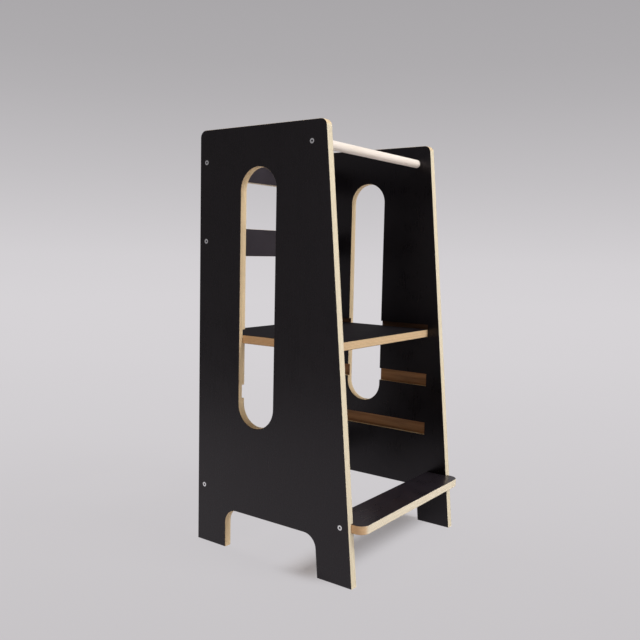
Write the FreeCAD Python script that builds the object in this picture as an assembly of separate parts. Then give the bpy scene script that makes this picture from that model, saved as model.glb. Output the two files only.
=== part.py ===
# Toddler kitchen helper stool: two side panels, three back rails, a grab bar, a step, and a
# platform that slides out of the back of its grooves to be set at one of three heights.
#
# Millimetres. +Z is up, the child climbs in from -Y, and the upright back edges face +Y.
# The origin is on the floor, in the middle of the footprint. "Forward" is the distance of a
# point in front of the back edges of the side panels.
import FreeCAD, Part
import math
import os

# ---- Boards ----------------------------------------------------------------------------------
board_thickness = 18.0           # plywood of every flat piece
arris_radius = 1.5               # rounding along the cut edges of the boards

# ---- Side panels -----------------------------------------------------------------------------
inner_width = 397.0              # clear width between the side panels
panel_height = 900.0
panel_top_depth = 332.0          # back edge to front edge at the top
panel_foot_depth = 416.0         # back edge to front edge at the floor
panel_top_radius = 15.0
rear_foot_width = 83.0
front_foot_width = 83.0
foot_cutout_height = 86.0
foot_cutout_radius = 30.0

window_width = 94.0              # round-ended window in each side panel
window_back_margin = 118.0
window_top_margin = 83.0
window_sill_height = 276.0

# ---- Grooves for the platform ----------------------------------------------------------------
groove_count = 3
groove_pitch = 118.5
groove_height = 29.5
groove_depth = 8.0
lowest_groove_height = 214.0     # floor to the bottom of the lowest groove
groove_front_margin = 28.0       # wood in front of the grooves, beside the top one

# ---- Platform --------------------------------------------------------------------------------
platform_side_clearance = 1.0    # at each end, to the bottom of the groove
platform_front_clearance = 1.0   # to the closed front end of the grooves
platform_back_inset = 24.0

# ---- Step ------------------------------------------------------------------------------------
step_top_height = 125.0
step_depth = 81.0
step_overhang = 29.0             # in front of the panels' front edges
step_housing_depth = 8.0         # how far each end is let into a side panel
step_corner_radius = 20.0
step_screw_setback = 32.0        # from the back edge of the step

# ---- Back rails ------------------------------------------------------------------------------
rail_height = 62.0
rail_inset = 10.0                # back edges of the side panels to the rails' back faces
top_rail_drop = 68.0             # top of the side panels to the middle of the top rail
middle_rail_height = 665.0       # floor to the middle of the rail
lower_rail_height = 127.0

# ---- Grab bar --------------------------------------------------------------------------------
grab_bar_diameter = 19.0
grab_bar_drop = 41.0             # top of the side panels to the bar's axis
grab_bar_setback = 37.0          # sloping front edge to the bar's axis
grab_bar_chamfer = 1.5

# ---- Connecting screws, with a flat countersunk head and a hex socket ------------------------
screw_length = 50.0
screw_head_diameter = 10.0
screw_head_rim = 1.0
screw_shank_diameter = 7.0
screw_shank_length = 9.0         # plain, from the outer face inwards
screw_core_diameter = 5.0
screw_thread_diameter = 7.0
screw_thread_pitch = 3.0
screw_point_length = 3.0
screw_point_diameter = 2.5
screw_socket_width = 4.0         # across the flats
screw_socket_depth = 3.0
screw_hole_clearance = 0.05      # radial, around head and shank
pilot_hole_extra = 2.0           # beyond the screw's point

# ---- Dowel pins of the rails -----------------------------------------------------------------
pin_diameter = 8.0
pin_length = 35.0
pin_depth_in_panel = 10.0
pin_chamfer = 1.0
pin_offset = 18.0                # screw axis to pin axis
pin_end_gap = 1.0                # between each end of a pin and its hole

# ---- Places worked out from the sizes above --------------------------------------------------
inner_face_x = inner_width / 2
outer_face_x = inner_face_x + board_thickness
side_signs = {"left": -1, "right": 1}


def front_edge_at(height):
    """Forward distance of the sloping front edge of a side panel."""
    slope = (panel_top_depth - panel_foot_depth) / panel_height
    return panel_foot_depth + slope * height


step_middle_height = step_top_height - board_thickness / 2
step_front = front_edge_at(step_middle_height) + step_overhang
step_back = step_front - step_depth
step_half_length = inner_face_x + step_housing_depth

footprint_depth = max(step_front, panel_foot_depth)
back_edge_y = footprint_depth / 2

groove_heights = [lowest_groove_height + index * groove_pitch for index in range(groove_count)]
platform_height = groove_heights[-1]
groove_front = front_edge_at(platform_height + groove_height) - groove_front_margin
platform_front = groove_front - platform_front_clearance
platform_half_length = inner_face_x + groove_depth - platform_side_clearance

rail_heights = {
    "top": panel_height - top_rail_drop,
    "middle": middle_rail_height,
    "lower": lower_rail_height,
}
rail_centre_forward = rail_inset + board_thickness / 2

grab_bar_height = panel_height - grab_bar_drop
grab_bar_forward = front_edge_at(grab_bar_height) - grab_bar_setback

# Forward distance and height of each screw in a side panel.
screw_places = {
    "top_rail": (rail_centre_forward, rail_heights["top"]),
    "middle_rail": (rail_centre_forward, rail_heights["middle"]),
    "lower_rail": (rail_centre_forward, rail_heights["lower"]),
    "grab_bar": (grab_bar_forward, grab_bar_height),
    "step": (step_back + step_screw_setback, step_middle_height),
}
# How deep the piece at a joint is let into the side panel, where it is.
housing_depths = {"step": step_housing_depth}


def point(x, forward, height):
    return FreeCAD.Vector(x, back_edge_y - forward, height)


def block(x_range, forward_range, height_range):
    """A box between two X values, two forward distances and two heights."""
    low_x, high_x = sorted(x_range)
    near, far = sorted(forward_range)
    bottom, top = sorted(height_range)
    return Part.makeBox(high_x - low_x, far - near, top - bottom, point(low_x, far, bottom))


def cylinder(diameter, length, start, direction):
    return Part.makeCylinder(diameter / 2, length, start, direction)


def rounded_outline(corners, radii):
    """A closed wire through the corners, each rounded by its radius, or sharp at 0."""
    starts = []
    ends = []
    middles = []
    for index, (corner, radius) in enumerate(zip(corners, radii)):
        to_last = (corners[index - 1] - corner).normalize()
        to_next = (corners[(index + 1) % len(corners)] - corner).normalize()
        half_angle = to_last.getAngle(to_next) / 2
        setback = radius / math.tan(half_angle)
        bisector = (to_last + to_next).normalize()
        starts.append(corner + to_last * setback)
        ends.append(corner + to_next * setback)
        middles.append(corner + bisector * (radius / math.sin(half_angle) - radius))
    edges = []
    for index, radius in enumerate(radii):
        if radius > 0:
            edges.append(Part.Arc(starts[index], middles[index], ends[index]).toShape())
        next_start = starts[(index + 1) % len(radii)]
        edges.append(Part.LineSegment(ends[index], next_start).toShape())
    return Part.Wire(edges)


def round_edges(solid, chosen):
    """Rounds the arris of every edge for which chosen(edge) is true."""
    return solid.makeFillet(arris_radius, [edge for edge in solid.Edges if chosen(edge)])


def spans(edge, axis):
    """Length of the edge's box along one axis."""
    box = edge.BoundBox
    return {"x": box.XLength, "y": box.YLength, "z": box.ZLength}[axis]


def is_across(edge, axis):
    return spans(edge, axis) < 0.001


# ---- Fasteners -------------------------------------------------------------------------------
def head_profile(gap):
    """Half section of a screw's countersunk head as (radius, depth) pairs, down to its shank."""
    head_radius = screw_head_diameter / 2 + gap
    shank_radius = screw_shank_diameter / 2 + gap
    cone_depth = screw_head_rim + (screw_head_diameter - screw_shank_diameter) / 2
    return [(0, 0), (head_radius, 0), (head_radius, screw_head_rim), (shank_radius, cone_depth)]


def screw_profile():
    """Head, plain shank, thread as a row of ridges, and point."""
    core_radius = screw_core_diameter / 2
    thread_radius = screw_thread_diameter / 2
    thread_end = screw_length - screw_point_length
    depth = screw_shank_length
    rows = head_profile(0)
    rows.append((screw_shank_diameter / 2, depth))
    rows.append((core_radius, depth))
    while depth + screw_thread_pitch <= thread_end:
        rows.append((thread_radius, depth + screw_thread_pitch / 3))
        rows.append((core_radius, depth + screw_thread_pitch * 2 / 3))
        depth += screw_thread_pitch
        rows.append((core_radius, depth))
    rows.append((core_radius, thread_end))
    rows.append((screw_point_diameter / 2, screw_length))
    rows.append((0, screw_length))
    return rows


def hole_profile(wall):
    """Countersink, clearance hole through a wall, and pilot hole in the piece behind it."""
    clearance_radius = screw_shank_diameter / 2 + screw_hole_clearance
    pilot_radius = screw_core_diameter / 2
    end = screw_length + pilot_hole_extra
    rows = head_profile(screw_hole_clearance)
    return rows + [(clearance_radius, wall), (pilot_radius, wall), (pilot_radius, end), (0, end)]


def turned(rows, side, place):
    """A solid of revolution along X, from the outer face of a side panel inwards."""
    sign = side_signs[side]
    forward, height = place
    points = []
    for radius, depth in rows:
        vertex = point(sign * (outer_face_x - depth), forward, height + radius)
        if not points or (vertex - points[-1]).Length > 0.001:
            points.append(vertex)
    face = Part.Face(Part.makePolygon(points + [points[0]]))
    return face.revolve(point(0, forward, height), FreeCAD.Vector(1, 0, 0), 360)


def hex_socket(side, place):
    """The hexagonal recess in a screw's head."""
    sign = side_signs[side]
    forward, height = place
    circumradius = screw_socket_width / math.sqrt(3)
    corners = []
    for index in range(6):
        angle = math.radians(60 * index + 30)
        offset_y = circumradius * math.cos(angle)
        offset_z = circumradius * math.sin(angle)
        corners.append(point(sign * outer_face_x, forward + offset_y, height + offset_z))
    face = Part.Face(Part.makePolygon(corners + [corners[0]]))
    return face.extrude(FreeCAD.Vector(-sign * screw_socket_depth, 0, 0))


def make_screw(side, place):
    return turned(screw_profile(), side, place).cut(hex_socket(side, place))


def screw_hole(side, joint):
    """The drilling for the screw of a joint, through the side panel and into its other piece."""
    wall = board_thickness - housing_depths.get(joint, 0)
    return turned(hole_profile(wall), side, screw_places[joint])


def pin_places(rail):
    """Forward distance and height of the two pins at one end of a rail."""
    forward, height = screw_places[rail + "_rail"]
    return {
        "upper": (forward, height + pin_offset),
        "lower": (forward, height - pin_offset),
    }


def pin_at(side, place, end_gap):
    """A pin across the joint of a rail and a side panel, or its hole with a gap at each end."""
    sign = side_signs[side]
    start = point(sign * (inner_face_x + pin_depth_in_panel + end_gap), *place)
    direction = FreeCAD.Vector(-sign, 0, 0)
    return cylinder(pin_diameter, pin_length + 2 * end_gap, start, direction)


def make_pin(side, place):
    pin = pin_at(side, place, 0)
    ends = [edge for edge in pin.Edges if is_across(edge, "x")]
    return pin.makeChamfer(pin_chamfer, ends)


# ---- Boards and bar --------------------------------------------------------------------------
def panel_outline():
    """Back foot, foot cut-out, front foot, sloping front edge, top and upright back edge."""
    cutout_front = panel_foot_depth - front_foot_width
    slope_at_cutout = front_edge_at(foot_cutout_height) - panel_foot_depth
    corners = [
        (0, 0, 0),
        (rear_foot_width, 0, 0),
        (rear_foot_width, foot_cutout_height, foot_cutout_radius),
        (cutout_front + slope_at_cutout, foot_cutout_height, foot_cutout_radius),
        (cutout_front, 0, 0),
        (panel_foot_depth, 0, 0),
        (panel_top_depth, panel_height, panel_top_radius),
        (0, panel_height, panel_top_radius),
    ]
    vertices = [point(inner_face_x, forward, height) for forward, height, radius in corners]
    return rounded_outline(vertices, [radius for forward, height, radius in corners])


def window_outline():
    """Two upright edges joined by a half circle at each end."""
    x = inner_face_x
    radius = window_width / 2
    back = window_back_margin
    middle = back + radius
    front = back + window_width
    sill = window_sill_height
    top = panel_height - window_top_margin
    low_back = point(x, back, sill + radius)
    low_front = point(x, front, sill + radius)
    high_back = point(x, back, top - radius)
    high_front = point(x, front, top - radius)
    curves = [
        Part.Arc(low_back, point(x, middle, sill), low_front),
        Part.LineSegment(low_front, high_front),
        Part.Arc(high_front, point(x, middle, top), high_back),
        Part.LineSegment(high_back, low_back),
    ]
    return Part.Wire([curve.toShape() for curve in curves])


def make_side_panel(side):
    sign = side_signs[side]
    thickness = FreeCAD.Vector(board_thickness, 0, 0)
    panel = Part.Face(panel_outline()).extrude(thickness)
    panel = panel.cut(Part.Face(window_outline()).extrude(thickness))
    panel = round_edges(panel, lambda edge: is_across(edge, "x"))
    if sign < 0:
        panel = panel.mirror(FreeCAD.Vector(0, 0, 0), FreeCAD.Vector(1, 0, 0))
    inner = sign * inner_face_x
    groove_bottom = sign * (inner_face_x + groove_depth)
    for height in groove_heights:
        heights = (height, height + groove_height)
        panel = panel.cut(block((inner, groove_bottom), (0, groove_front), heights))
    housing_heights = (step_top_height - board_thickness, step_top_height)
    housing_bottom = sign * step_half_length
    panel = panel.cut(block((inner, housing_bottom), (step_back, step_front), housing_heights))
    for joint in screw_places:
        panel = panel.cut(screw_hole(side, joint))
    for rail in rail_heights:
        for place in pin_places(rail).values():
            panel = panel.cut(pin_at(side, place, pin_end_gap))
    return panel


def make_rail(rail):
    height = rail_heights[rail]
    forward_range = (rail_inset, rail_inset + board_thickness)
    height_range = (height - rail_height / 2, height + rail_height / 2)
    board = block((-inner_face_x, inner_face_x), forward_range, height_range)
    board = round_edges(board, lambda edge: spans(edge, "x") > 0.001)
    for side in side_signs:
        board = board.cut(screw_hole(side, rail + "_rail"))
        for place in pin_places(rail).values():
            board = board.cut(pin_at(side, place, pin_end_gap))
    return board


def make_grab_bar():
    start = point(-inner_face_x, grab_bar_forward, grab_bar_height)
    bar = cylinder(grab_bar_diameter, inner_width, start, FreeCAD.Vector(1, 0, 0))
    bar = bar.makeChamfer(grab_bar_chamfer, [edge for edge in bar.Edges if is_across(edge, "x")])
    for side in side_signs:
        bar = bar.cut(screw_hole(side, "grab_bar"))
    return bar


def make_step():
    """A board let into both side panels, with rounded front corners."""
    bottom = step_top_height - board_thickness
    corners = [
        point(-step_half_length, step_back, bottom),
        point(-step_half_length, step_front, bottom),
        point(step_half_length, step_front, bottom),
        point(step_half_length, step_back, bottom),
    ]
    outline = rounded_outline(corners, [0, step_corner_radius, step_corner_radius, 0])
    board = Part.Face(outline).extrude(FreeCAD.Vector(0, 0, board_thickness))
    board = round_edges(board, lambda edge: is_across(edge, "z"))
    for side in side_signs:
        board = board.cut(screw_hole(side, "step"))
    return board


def make_platform():
    forward_range = (platform_back_inset, platform_front)
    height_range = (platform_height, platform_height + board_thickness)
    board = block((-platform_half_length, platform_half_length), forward_range, height_range)
    return round_edges(board, lambda edge: is_across(edge, "z"))


# ---- The whole assembly ----------------------------------------------------------------------
pieces = {
    "grab_bar": make_grab_bar(),
    "step_board": make_step(),
    "platform_board": make_platform(),
}
for rail_name in rail_heights:
    pieces[rail_name + "_back_rail"] = make_rail(rail_name)
for side_name in side_signs:
    pieces[side_name + "_side_panel"] = make_side_panel(side_name)
    for joint_name, joint_place in screw_places.items():
        pieces[f"{side_name}_{joint_name}_screw"] = make_screw(side_name, joint_place)
    for rail_name in rail_heights:
        for level, pin_place in pin_places(rail_name).items():
            pieces[f"{side_name}_{rail_name}_rail_{level}_pin"] = make_pin(side_name, pin_place)

os.makedirs("parts", exist_ok=True)
for piece_name, shape in pieces.items():
    if not shape.isValid() or len(shape.Solids) != 1:
        raise ValueError(f"{piece_name} is not one valid solid")
    shape.Solids[0].exportStep(f"parts/{piece_name}.step")
    box = shape.BoundBox
    print(f"{piece_name:34s} {shape.Volume:12.1f} mm3  z {box.ZMin:7.2f} to {box.ZMax:7.2f}")
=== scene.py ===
"""Looks of the toddler kitchen helper stool: black-faced birch plywood, a pale grab bar, zinc
screws and beech pins, on a pale studio floor. Metres, in the frame of the CAD model."""

import math
from collections import namedtuple

import bpy
from mathutils import Matrix, Vector


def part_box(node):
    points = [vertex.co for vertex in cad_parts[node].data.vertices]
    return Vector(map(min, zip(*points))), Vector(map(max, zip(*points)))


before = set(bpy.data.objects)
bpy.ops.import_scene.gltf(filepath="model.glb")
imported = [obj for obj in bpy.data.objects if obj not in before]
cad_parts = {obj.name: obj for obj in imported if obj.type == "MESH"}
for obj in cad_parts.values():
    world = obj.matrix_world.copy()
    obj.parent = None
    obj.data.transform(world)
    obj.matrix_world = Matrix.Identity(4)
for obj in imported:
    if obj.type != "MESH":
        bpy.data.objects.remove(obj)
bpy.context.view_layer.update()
scene = bpy.context.scene

X, Y, Z = 0, 1, 2

# ---- Camera, fitted to the straight edges in the photograph ----------------------------------
CAMERA_PLACE = (-1.36391, -0.94414, 0.64834)
CAMERA_YAW = 0.94218                # radians, from +Y towards +X
CAMERA_PITCH = 0.09266              # downwards
CAMERA_ROLL = 0.02191
CAMERA_FOCAL = 737.02 / 640         # focal length as a share of the picture's width
CAMERA_NEAR = 0.05

# ---- Noise -----------------------------------------------------------------------------------
NOISE_RANGE = (0.3, 0.7)            # holds nearly all values of a noise
TWO_NOISES_RANGE = (0.7, 1.3)       # holds nearly all sums of two noises

# ---- Plywood: its plies ----------------------------------------------------------------------
PLY_COUNT = 13
PLY_MARGIN = 0.01                   # share of a ply that keeps both faces inside their own plies
PLY_SHIFT = 0.37                    # moves the streaks from one ply to the next
GRAIN_STRETCH = 0.04                # of the streaks, along the grain
FINE_STREAKS = 900.0                # per metre across the grain
BROAD_STREAKS = 140.0
GROOVE_STREAKS = 110.0
PLY_TONES = (0.95, 0.10)            # the darkest ply, and how much the lightest adds
GLUE_WIDTHS = (0.03, 0.09)          # a glue line's full and faded half width, in plies
GLUE_STRENGTH = 0.55
GLUE_SINK = 0.6                     # depth of a glue line beside the grain's relief
EDGE_ROUGHNESS = (0.72, 0.58)

SIDE_GRAIN = (0.845, 0.79, 0.635)   # a ply seen along its side
END_GRAIN = (0.73, 0.635, 0.47)
GLUE_LINE = (0.40, 0.26, 0.15)
ROUTED_FACE_AND_SHADE = (0.30, 0.158, 0.070)  # the wall of a groove: bare core, browner than an edge, and darkened further as painted shade
TOP_GROOVE_PAINTED_SHADE = (0.09, 0.05, 0.028)   # the wall of the top groove above the platform, darkened as painted shade

# Tints that multiply the wood of an edge.
PLAIN_EDGE = (1.0, 1.0, 1.0)
# The panels' paler front tint and warmer tint behind are painted light and shade: lit wood paler,
# shaded wood warmer. The warmer tint also colours their grain ends.
PALE_LIT_EDGE = (0.94, 0.935, 0.90)
WARM_SHADE_AND_END_EDGE = (1.0, 0.87, 0.70)
RAIL_EDGE = (0.90, 0.81, 0.735)
BROWN_EDGE = (0.785, 0.62, 0.475)
BACK_TINT_PLACE = (0.0, 0.05)       # Y where the front's tint ends and the back's begins
END_TINT_FACING = (0.05, 0.6)       # how much a surface faces the end of the grain, likewise
ROUTED_FACING = (0.75, 0.95)        # how much a bare surface faces across the plies in a groove

# Heights between which the walls of the grooves turn to the top groove's painted shade.
PLATFORM_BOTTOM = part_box("platform_board")[0][Z]
TOP_GROOVE = (PLATFORM_BOTTOM - 0.02, PLATFORM_BOTTOM - 0.01)

# ---- Plywood: the black film on its faces ----------------------------------------------------
FILM_DEPTHS = (0.00048, 0.00072)    # it wraps a little way round the rounded edges and ends here
FILM_COLOUR = (0.0105, 0.0084, 0.0108)
FILM_SHINE = (1.0, 0.93, 1.0, 1)
FILM_MOTTLE = 26.0                  # per metre
FILM_STREAKS = 320.0                # of the veneer under it, per metre across the grain
FILM_GRIT = 2600.0                  # per metre
FILM_GLOSS_SPREAD = 0.04
PLYWOOD_RELIEF = 0.00006

# across and along are the axes across the plies and along the face plies' grain. The tints are
# for edges at the front, at the back, and where the grain ends.
# Each board's film level brightens or darkens the same black film: painted light and shade.
Board = namedtuple("Board", "across along tints film_level film_roughness film_specular")
PANEL_TINTS = (PALE_LIT_EDGE, WARM_SHADE_AND_END_EDGE, WARM_SHADE_AND_END_EDGE)
RAIL_TINTS = (RAIL_EDGE, RAIL_EDGE, RAIL_EDGE)
STEP_TINTS = (PLAIN_EDGE, PLAIN_EDGE, BROWN_EDGE)
PLATFORM_TINTS = (BROWN_EDGE, BROWN_EDGE, BROWN_EDGE)
BOARDS = {
    "left_side_panel": Board(X, Z, PANEL_TINTS, 0.3, 0.28, 0.48),
    "right_side_panel": Board(X, Z, PANEL_TINTS, 0.3, 0.30, 0.35),
    "top_back_rail": Board(Y, X, RAIL_TINTS, 2.3, 0.45, 0.5),
    "middle_back_rail": Board(Y, X, RAIL_TINTS, 2.0, 0.45, 0.5),
    "lower_back_rail": Board(Y, X, RAIL_TINTS, 1.8, 0.45, 0.5),
    "step_board": Board(Z, X, STEP_TINTS, 1.6, 0.30, 0.45),
    "platform_board": Board(Z, X, PLATFORM_TINTS, 0.6, 0.80, 0.1),
}

# ---- Solid wood and metal --------------------------------------------------------------------
SolidWood = namedtuple("SolidWood", "light dark roughness specular")
GRAB_BAR_WOOD = SolidWood((0.88, 0.80, 0.73), (0.83, 0.735, 0.645), 0.55, 0.3)
PIN_WOOD = SolidWood((0.72, 0.55, 0.38), (0.60, 0.43, 0.28), 0.62, 0.4)
FLECK_STRENGTH = 0.10
SOLID_WOOD_RELIEF = 0.00004

ZINC = (0.92, 0.92, 0.93)
ZINC_TONES = (0.88, 1.08)
ZINC_ROUGHNESS = (0.26, 0.40)
ZINC_RELIEF = 0.00002
SOCKET_PAINTED_SHADE = (0.03, 0.03, 0.035)
SOCKET_DEPTHS = (0.0003, 0.0012)    # below the panel's outer face, where a socket darkens as painted shade
OUTER_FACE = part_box("right_side_panel")[1][X]

# ---- Studio ----------------------------------------------------------------------------------
VIEW_ALONG = (math.sin(CAMERA_YAW), math.cos(CAMERA_YAW))
GREY_TINT = (1.0, 0.969, 1.0)

# Position along the view, in metres, and the floor's grey there.
FLOOR_GREYS = [(-0.5, 0.578), (0.25, 0.617), (0.85, 0.638), (1.6, 0.651), (2.7, 0.665), (5, 0.672)]
FLOOR_GREYS_RANGE = (-1.0, 5.0)
FLOOR_RADIUS = 12.0
FLOOR_SIDES = 64
FLOOR_VANISHES = (2.5, 8.0)         # distances from the stool
FLOOR_OWN_LIGHT = 0.93              # share of its grey that takes no shadow, near the stool
FLOOR_SHADOW_ENDS = (0.5, 2.2)      # distances over which that share rises to all of it

# The floor behind the step takes the step's shadow, and the rest hardly any.
STEP_SHADOW_Y = -0.080
STEP_SHADOW_DEPTH = 0.08            # each way from there
STEP_SHADOW_HALF_WIDTHS = (0.19, 0.26)
STEP_SHADOW_OWN_LIGHT = 0.30

# Height of a direction above the horizon, as its sine, and the backdrop's grey there.
BACKDROP_GREYS = [
    (-0.064, 0.672), (-0.010, 0.651), (0.043, 0.597), (0.096, 0.543), (0.148, 0.496),
    (0.198, 0.451), (0.240, 0.423), (0.50, 0.330), (1.0, 0.250),
]
BACKDROP_GREYS_RANGE = (-0.1, 1.0)

# The side of the studio that the side panels mirror in this view is darker, to mirror rays alone.
SIDE_DARKNESS = 0.36
DARK_FLOOR_ALONG = (-VIEW_ALONG[0], VIEW_ALONG[1])
DARK_FLOOR_DISTANCES = (0.95, 2.6)
DARK_BACKDROP_ALONG = (-0.5, 0.866)
DARK_BACKDROP_COSINES = (0.7, 0.97)

# Light that the world gives to the object: from the left, from the right, and from the floor.
AMBIENT = (0.12, 0.14)
AMBIENT_SIDES = (-0.7, 0.7)         # X of a direction at the left and at the right
AMBIENT_TINT = (1.0, 0.84, 0.66)
FLOOR_BOUNCE = (0.45, 0.44, 0.45)
FLOOR_BOUNCE_HEIGHTS = (-0.3, 0.0)  # sines, where the bounce ends

STOOL_MIDDLE = (0, 0, 0.45)
WHITE = (1, 1, 1)
Lamp = namedtuple("Lamp", "place target size power colour mirrored")
LAMPS = {
    "key": Lamp((0.55, -2.75, 4.0), STOOL_MIDDLE, (1.3, 1.3), 128, WHITE, True),
    "front": Lamp((0.3, -3.0, 0.6), STOOL_MIDDLE, (1.5, 1.0), 28, WHITE, False),
    "left": Lamp((-3.0, -0.2, 0.8), STOOL_MIDDLE, (1.5, 1.5), 20, (1, 0.68, 0.46), False),
    "top": Lamp((0.2, 0.2, 3.0), (0, 0, 0), (3.0, 3.0), 18, WHITE, True),
    "back": Lamp((0.4, 3.0, 1.8), STOOL_MIDDLE, (2.0, 2.0), 50, WHITE, False),
}


class Graph:
    """Adds nodes to a material's or the world's tree. Arguments are sockets or plain values."""

    def __init__(self, tree):
        self.tree = tree
        self.tree.nodes.clear()

    def plug(self, socket, value):
        if isinstance(value, bpy.types.NodeSocket):
            self.tree.links.new(value, socket)
        elif socket.type == "RGBA" and len(value) == 3:
            socket.default_value = (*value, 1)
        else:
            socket.default_value = value

    def node(self, kind, inputs=(), **settings):
        made = self.tree.nodes.new(kind)
        for name, value in settings.items():
            setattr(made, name, value)
        for name, value in dict(inputs).items():
            self.plug(made.inputs[name], value)
        return made

    def math(self, operation, *values):
        return self.node("ShaderNodeMath", dict(enumerate(values)), operation=operation).outputs[0]

    def scale(self, value, start, end, low=0.0, high=1.0, **settings):
        """low at start and below, high at end and above, and straight in between."""
        inputs = {"Value": value, "From Min": start, "From Max": end, "To Min": low, "To Max": high}
        return self.node("ShaderNodeMapRange", inputs, **settings).outputs["Result"]

    def fade(self, value, start, end, low=0.0, high=1.0):
        """The same, but smooth."""
        return self.scale(value, start, end, low, high, interpolation_type="SMOOTHSTEP")

    def spread(self, noise, low, high):
        """low at a noise's usual least, and high at its usual most."""
        return self.scale(noise, *NOISE_RANGE, low, high)

    def blend(self, data_type, numbers, values, **settings):
        """A Mix node, which has its sockets for each data type at places of their own."""
        made = self.node("ShaderNodeMix", data_type=data_type, **settings)
        for number, value in zip(numbers, values):
            self.plug(made.inputs[number], value)
        return made

    def mix(self, factor, first, second, blend_type="MIX"):
        """A colour between first, at factor 0, and second, at factor 1."""
        values = (factor, first, second)
        return self.blend("RGBA", (0, 6, 7), values, blend_type=blend_type).outputs[2]

    def choose(self, factor, first, second):
        """A number between first, at factor 0, and second, at factor 1."""
        return self.blend("FLOAT", (0, 2, 3), (factor, first, second)).outputs[0]

    def tinted(self, colour, tint):
        return self.mix(1.0, colour, tint, "MULTIPLY")

    def shaded(self, colour, tone):
        """colour times the number tone."""
        return self.tinted(colour, self.join(tone, tone, tone))

    def join(self, x, y, z):
        return self.node("ShaderNodeCombineXYZ", {"X": x, "Y": y, "Z": z}).outputs[0]

    def split(self, vector):
        return self.node("ShaderNodeSeparateXYZ", {"Vector": vector}).outputs

    def size(self, value):
        return self.math("ABSOLUTE", value)

    def along(self, vector, direction):
        """How far vector goes along a level direction."""
        return self.math("ADD", self.math("MULTIPLY", vector[X], direction[X]),
                         self.math("MULTIPLY", vector[Y], direction[Y]))

    def place(self):
        """The surface point in the frame of the CAD model."""
        return self.split(self.node("ShaderNodeTexCoord").outputs["Object"])

    def normal(self):
        return self.split(self.node("ShaderNodeNewGeometry").outputs["True Normal"])

    def mirrored(self, level):
        """level for mirror rays, and 1 for every other ray."""
        mirror = self.node("ShaderNodeLightPath").outputs["Is Glossy Ray"]
        return self.choose(mirror, 1.0, level)

    def seen_directly(self):
        """1 for rays from the camera and mirror or glass rays, 0 for diffuse light."""
        path = self.node("ShaderNodeLightPath").outputs
        seen = self.math("MAXIMUM", path["Is Camera Ray"], path["Is Glossy Ray"])
        return self.math("MAXIMUM", seen, path["Is Transmission Ray"])

    def noise(self, vector, scale, detail, roughness):
        inputs = {"Vector": vector, "Scale": scale, "Detail": detail, "Roughness": roughness}
        return self.node("ShaderNodeTexNoise", inputs).outputs["Fac"]

    def ramp(self, value, start, end, stops):
        """A grey that follows (position, grey) pairs between start and end."""
        factor = self.scale(value, start, end)
        made = self.node("ShaderNodeValToRGB", {"Fac": factor})
        elements = made.color_ramp.elements
        while len(elements) < len(stops):
            elements.new(0.5)
        for element, (position, grey) in zip(elements, stops):
            element.position = (position - start) / (end - start)
            element.color = (*[grey * tint for tint in GREY_TINT], 1)
        return made.outputs["Color"]


def new_material(name):
    material = bpy.data.materials.new(name)
    material.use_nodes = True
    return material, Graph(material.node_tree)


def finish_surface(graph, colour, roughness, height, relief, **inputs):
    """The Principled shader of a material, with its relief in metres."""
    bump = graph.node("ShaderNodeBump", {"Height": height, "Distance": relief, "Strength": 1.0})
    inputs = {"Base Color": colour, "Roughness": roughness, "Normal": bump.outputs[0], **inputs}
    shader = graph.node("ShaderNodeBsdfPrincipled", inputs)
    graph.node("ShaderNodeOutputMaterial", {"Surface": shader.outputs[0]})


# ---- Materials -------------------------------------------------------------------------------
class Plies:
    """Where a surface point lies in the plies of a board, from low to high across them."""

    def __init__(self, graph, board, low, high):
        self.graph = graph
        self.place = graph.place()
        self.along = board.along
        self.beside = X + Y + Z - board.across - board.along
        level = graph.scale(self.place[board.across], low, high, PLY_MARGIN, PLY_COUNT - PLY_MARGIN)
        self.index = graph.math("FLOOR", level)
        self.within = graph.math("FRACT", level)
        self.shift = graph.math("MULTIPLY", self.index, PLY_SHIFT)
        # Even plies have the face plies' grain, and odd ones cross it.
        self.crossed = graph.math("MODULO", self.index, 2.0)

    def streaks(self, grain, fineness):
        parts = []
        for axis in (X, Y, Z):
            stretch = GRAIN_STRETCH if axis == grain else 1.0
            parts.append(self.graph.math("MULTIPLY_ADD", self.place[axis], stretch, self.shift))
        return self.graph.noise(self.graph.join(*parts), fineness, 4.0, 0.6)

    def own_streaks(self, fineness):
        """Streaks along each ply's own grain."""
        face, core = self.streaks(self.along, fineness), self.streaks(self.beside, fineness)
        return self.graph.choose(self.crossed, face, core)


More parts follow.
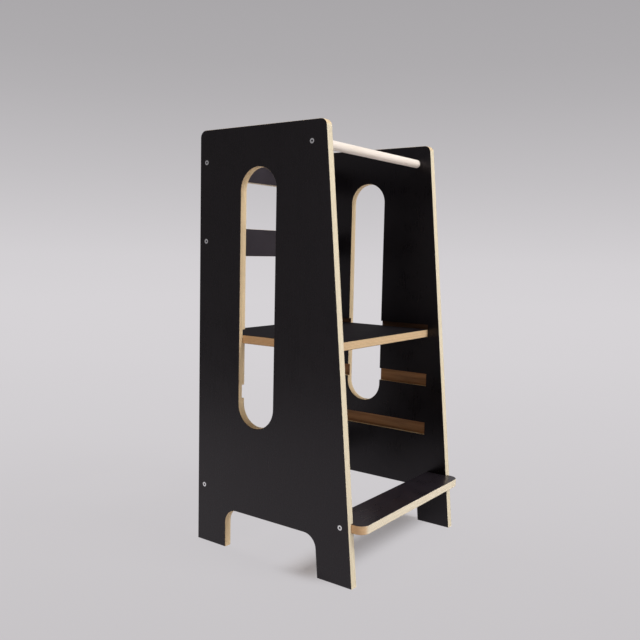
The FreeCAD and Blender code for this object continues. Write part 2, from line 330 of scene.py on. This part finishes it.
def edge_wood(graph, board, plies):
    """Bare plywood at an edge or in a groove: its colour, roughness and relief."""
    normal = graph.normal()
    facing_along = graph.size(normal[board.along])
    facing_across = graph.size(normal[board.across])
    facing_end = graph.choose(plies.crossed, facing_along, graph.size(normal[plies.beside]))
    fine, broad = plies.own_streaks(FINE_STREAKS), plies.own_streaks(BROAD_STREAKS)

    front_tint, back_tint, end_tint = board.tints
    # For the side panels, the front and back tints paint light and shade.
    tint = graph.mix(graph.fade(plies.place[Y], *BACK_TINT_PLACE), front_tint, back_tint)
    tint = graph.mix(graph.fade(facing_along, *END_TINT_FACING), tint, end_tint)
    wood = graph.tinted(graph.mix(facing_end, SIDE_GRAIN, END_GRAIN), tint)

    # Above the platform's underside the groove walls take the top groove's painted shade.
    routed = graph.mix(graph.fade(plies.place[Z], *TOP_GROOVE), ROUTED_FACE_AND_SHADE, TOP_GROOVE_PAINTED_SHADE)
    band = graph.scale(plies.streaks(plies.beside, GROOVE_STREAKS), 0.35, 0.65, 0.70, 1.25)
    routed = graph.shaded(routed, band)
    # Groove walls take the routed colour, which is partly painted shade.
    wood = graph.mix(graph.fade(facing_across, *ROUTED_FACING), wood, routed)

    random = graph.node("ShaderNodeTexWhiteNoise", {"W": plies.index}, noise_dimensions="1D")
    darkest, added = PLY_TONES
    tone = graph.math("MULTIPLY_ADD", random.outputs["Value"], added, darkest)
    tone = graph.math("MULTIPLY", tone, graph.spread(fine, 0.90, 1.08))
    tone = graph.math("MULTIPLY", tone, graph.spread(broad, 0.94, 1.05))
    wood = graph.shaded(wood, tone)

    from_glue = graph.math("MINIMUM", plies.within, graph.math("SUBTRACT", 1.0, plies.within))
    glue = graph.fade(from_glue, *GLUE_WIDTHS, GLUE_STRENGTH, 0.0)
    glue = graph.math("MULTIPLY", glue, graph.math("SUBTRACT", 1.0, facing_across))
    wood = graph.mix(glue, wood, GLUE_LINE)
    relief = graph.math("SUBTRACT", fine, graph.math("MULTIPLY", glue, GLUE_SINK))
    return wood, graph.spread(fine, *EDGE_ROUGHNESS), relief


def black_film(graph, board, plies):
    """Nearly even film, with the veneer's grain showing faintly: its colour, roughness, relief."""
    point = graph.join(*plies.place[:3])
    mottle = graph.noise(point, FILM_MOTTLE, 3.0, 0.55)
    veneer = plies.streaks(board.along, FILM_STREAKS)
    grit = graph.noise(point, FILM_GRIT, 2.0, 0.6)
    # The board's film level scales the black: painted light and shade.
    tone = graph.spread(mottle, 0.85 * board.film_level, 1.15 * board.film_level)
    roughness = graph.scale(graph.math("ADD", mottle, veneer), *TWO_NOISES_RANGE,
                            board.film_roughness - FILM_GLOSS_SPREAD,
                            board.film_roughness + FILM_GLOSS_SPREAD)
    relief = graph.math("MULTIPLY_ADD", veneer, 0.03, graph.math("MULTIPLY", grit, 0.012))
    return graph.shaded(FILM_COLOUR, tone), roughness, relief


def plywood(node, board):
    """Plywood with a black film on both faces, whose plies start and end at the board's faces."""
    material, graph = new_material(node + "_plywood")
    low, high = (corner[board.across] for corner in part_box(node))
    plies = Plies(graph, board, low, high)
    across = plies.place[board.across]
    from_face = graph.math("MINIMUM", graph.math("SUBTRACT", across, low),
                           graph.math("SUBTRACT", high, across))
    is_film = graph.fade(from_face, *FILM_DEPTHS, 1.0, 0.0)
    wood, wood_roughness, wood_relief = edge_wood(graph, board, plies)
    black, film_roughness, film_relief = black_film(graph, board, plies)
    finish_surface(
        graph,
        graph.mix(is_film, wood, black),
        graph.choose(is_film, wood_roughness, film_roughness),
        graph.choose(is_film, wood_relief, film_relief),
        PLYWOOD_RELIEF,
        **{"Specular IOR Level": board.film_specular, "Specular Tint": FILM_SHINE},
    )
    return material


def solid_wood(name, kind):
    """Solid wood with its grain along X."""
    material, graph = new_material(name)
    place = graph.place()

    def streaks(stretch, fineness, detail):
        along = graph.math("MULTIPLY", place[X], stretch)
        return graph.noise(graph.join(along, place[Y], place[Z]), fineness, detail, 0.55)

    broad = streaks(0.05, 130.0, 3.0)
    fine = streaks(0.03, 900.0, 4.0)
    flecks = graph.fade(streaks(0.22, 1500.0, 1.0), 0.66, 0.74)
    wood = graph.mix(graph.fade(broad, 0.32, 0.72), kind.light, kind.dark)
    tone = graph.spread(fine, 1.05, 0.93)
    tone = graph.math("SUBTRACT", tone, graph.math("MULTIPLY", flecks, FLECK_STRENGTH))
    roughness = graph.spread(fine, kind.roughness - 0.05, kind.roughness + 0.07)
    height = graph.math("SUBTRACT", graph.math("MULTIPLY", fine, -1.0), flecks)
    finish_surface(graph, graph.shaded(wood, tone), roughness, height, SOLID_WOOD_RELIEF,
                   **{"Specular IOR Level": kind.specular})
    return material


def zinc_plate():
    material, graph = new_material("zinc_plate")
    place = graph.place()
    point = graph.join(*place[:3])
    cloud = graph.noise(point, 420.0, 3.0, 0.6)
    grain = graph.noise(point, 5200.0, 2.0, 0.6)
    colour = graph.shaded(ZINC, graph.spread(cloud, *ZINC_TONES))
    depth = graph.math("SUBTRACT", OUTER_FACE, graph.size(place[X]))
    # Darkens the inside of the screw sockets: painted shade.
    colour = graph.mix(graph.fade(depth, *SOCKET_DEPTHS), colour, SOCKET_PAINTED_SHADE)
    roughness = graph.scale(graph.math("ADD", cloud, grain), *TWO_NOISES_RANGE, *ZINC_ROUGHNESS)
    finish_surface(graph, colour, roughness, grain, ZINC_RELIEF, Metallic=1.0)
    return material


def dress_pieces():
    materials = {node: plywood(node, board) for node, board in BOARDS.items()}
    materials["grab_bar"] = solid_wood("pale_hardwood", GRAB_BAR_WOOD)
    pin = solid_wood("beech_pin", PIN_WOOD)
    zinc = zinc_plate()
    for node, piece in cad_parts.items():
        material = materials.get(node, pin if node.endswith("_pin") else zinc)
        piece.data.materials.clear()
        piece.data.materials.append(material)


# ---- Studio ----------------------------------------------------------------------------------
def floor_mesh():
    angles = [math.tau * step / FLOOR_SIDES for step in range(FLOOR_SIDES)]
    corners = [(FLOOR_RADIUS * math.cos(a), FLOOR_RADIUS * math.sin(a), 0) for a in angles]
    mesh = bpy.data.meshes.new("floor")
    mesh.from_pydata(corners, [], [list(range(FLOOR_SIDES))])
    return mesh


def make_floor():
    """A pale disc that fades into the backdrop. Part of its grey is its own, so that the shadow
    of the stool stays light."""
    material, graph = new_material("studio_floor")
    place = graph.place()
    grey = graph.ramp(graph.along(place, VIEW_ALONG), *FLOOR_GREYS_RANGE, FLOOR_GREYS)
    squares = [graph.math("MULTIPLY", place[axis], place[axis]) for axis in (X, Y)]
    distance = graph.math("SQRT", graph.math("ADD", *squares))
    aside = graph.along(place, DARK_FLOOR_ALONG)
    dim = graph.mirrored(graph.fade(aside, *DARK_FLOOR_DISTANCES, 1.0, SIDE_DARKNESS))
    grey = graph.shaded(grey, dim)

    from_shadow = graph.size(graph.math("SUBTRACT", place[Y], STEP_SHADOW_Y))
    in_depth = graph.fade(from_shadow, 0.0, STEP_SHADOW_DEPTH, 1.0, 0.0)
    in_width = graph.fade(graph.size(place[X]), *STEP_SHADOW_HALF_WIDTHS, 1.0, 0.0)
    own_light = graph.fade(distance, *FLOOR_SHADOW_ENDS, FLOOR_OWN_LIGHT, 1.0)
    own_light = graph.choose(graph.math("MULTIPLY", in_depth, in_width), own_light,
                             STEP_SHADOW_OWN_LIGHT)
    own_light = graph.math("MULTIPLY", graph.seen_directly(), own_light)

    lit = graph.node("ShaderNodeBsdfDiffuse", {"Color": grey}).outputs[0]
    own = graph.node("ShaderNodeEmission", {"Color": grey}).outputs[0]
    surface = graph.node("ShaderNodeMixShader", {0: own_light, 1: lit, 2: own}).outputs[0]
    clear = graph.node("ShaderNodeBsdfTransparent").outputs[0]
    gone = graph.fade(distance, *FLOOR_VANISHES)
    surface = graph.node("ShaderNodeMixShader", {0: gone, 1: surface, 2: clear}).outputs[0]
    graph.node("ShaderNodeOutputMaterial", {"Surface": surface})

    mesh = floor_mesh()
    mesh.materials.append(material)
    floor = bpy.data.objects.new("floor", mesh)
    scene.collection.objects.link(floor)


def make_backdrop():
    """A backdrop that darkens upwards."""
    world = bpy.data.worlds.new("studio")
    world.use_nodes = True
    scene.world = world
    graph = Graph(world.node_tree)
    direction = graph.split(graph.node("ShaderNodeTexCoord").outputs["Generated"])
    grey = graph.ramp(direction[Z], *BACKDROP_GREYS_RANGE, BACKDROP_GREYS)
    aside = graph.along(direction, DARK_BACKDROP_ALONG)
    dim = graph.mirrored(graph.fade(aside, *DARK_BACKDROP_COSINES, 1.0, SIDE_DARKNESS))
    grey = graph.shaded(grey, dim)
    ambient = graph.shaded(AMBIENT_TINT, graph.fade(direction[X], *AMBIENT_SIDES, *AMBIENT))
    ambient = graph.mix(graph.fade(direction[Z], *FLOOR_BOUNCE_HEIGHTS), FLOOR_BOUNCE, ambient)
    colour = graph.mix(graph.seen_directly(), ambient, grey)
    background = graph.node("ShaderNodeBackground", {"Color": colour}).outputs[0]
    graph.node("ShaderNodeOutputWorld", {"Surface": background})


def make_lamp(name, lamp):
    light = bpy.data.lights.new(name, "AREA")
    light.shape = "RECTANGLE"
    light.size, light.size_y = lamp.size
    light.energy = lamp.power
    light.color = lamp.colour
    piece = bpy.data.objects.new(name, light)
    place = Vector(lamp.place)
    aim = (Vector(lamp.target) - place).to_track_quat("-Z", "Y")
    piece.matrix_world = Matrix.Translation(place) @ aim.to_matrix().to_4x4()
    piece.visible_camera = False
    piece.visible_glossy = lamp.mirrored
    scene.collection.objects.link(piece)


def make_camera():
    lens = bpy.data.cameras.new("camera")
    lens.lens = CAMERA_FOCAL * lens.sensor_width
    lens.clip_start = CAMERA_NEAR
    camera = bpy.data.objects.new("camera", lens)
    camera.matrix_world = (
        Matrix.Translation(CAMERA_PLACE)
        @ Matrix.Rotation(-CAMERA_YAW, 4, "Z")
        @ Matrix.Rotation(math.pi / 2 - CAMERA_PITCH, 4, "X")
        @ Matrix.Rotation(CAMERA_ROLL, 4, "Z")
    )
    scene.collection.objects.link(camera)
    scene.camera = camera


dress_pieces()
make_camera()
make_floor()
make_backdrop()
for lamp_name, lamp in LAMPS.items():
    make_lamp(lamp_name, lamp)

scene.view_settings.view_transform = "Standard"
